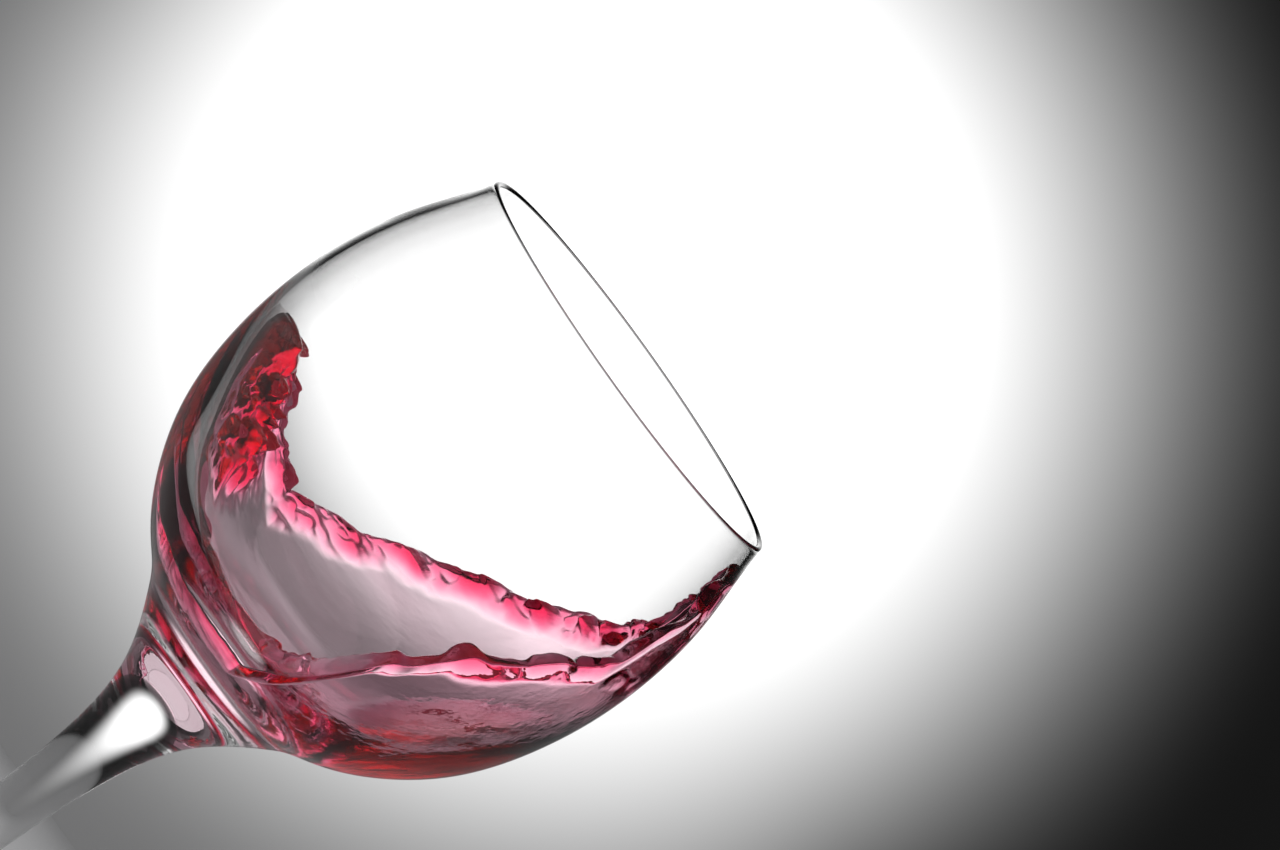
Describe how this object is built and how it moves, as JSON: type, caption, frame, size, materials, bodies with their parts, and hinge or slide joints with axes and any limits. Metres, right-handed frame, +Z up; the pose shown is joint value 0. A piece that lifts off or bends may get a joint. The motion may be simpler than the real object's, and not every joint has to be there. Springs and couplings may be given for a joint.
{
  "type": "glass of red wine",
  "caption": "Stemmed balloon glass of clear glass standing on a round foot, with red wine thrown up one side of its bowl and a tongue of it on the other.",
  "frame": {"origin": "middle of the foot's underside, where the glass stands", "axes": "+Z up the stem to the rim; +X towards the side the wine has run to; the tongue of wine hangs between -X and +Y"},
  "size_m": [0.09, 0.09, 0.19],
  "materials": {
    "clear_glass": "polished, clear",
    "red_wine": "clear red liquid"
  },
  "bodies": {
    "root": {"glass": "clear_glass", "wine": "red_wine"}
  },
  "joints": []
}
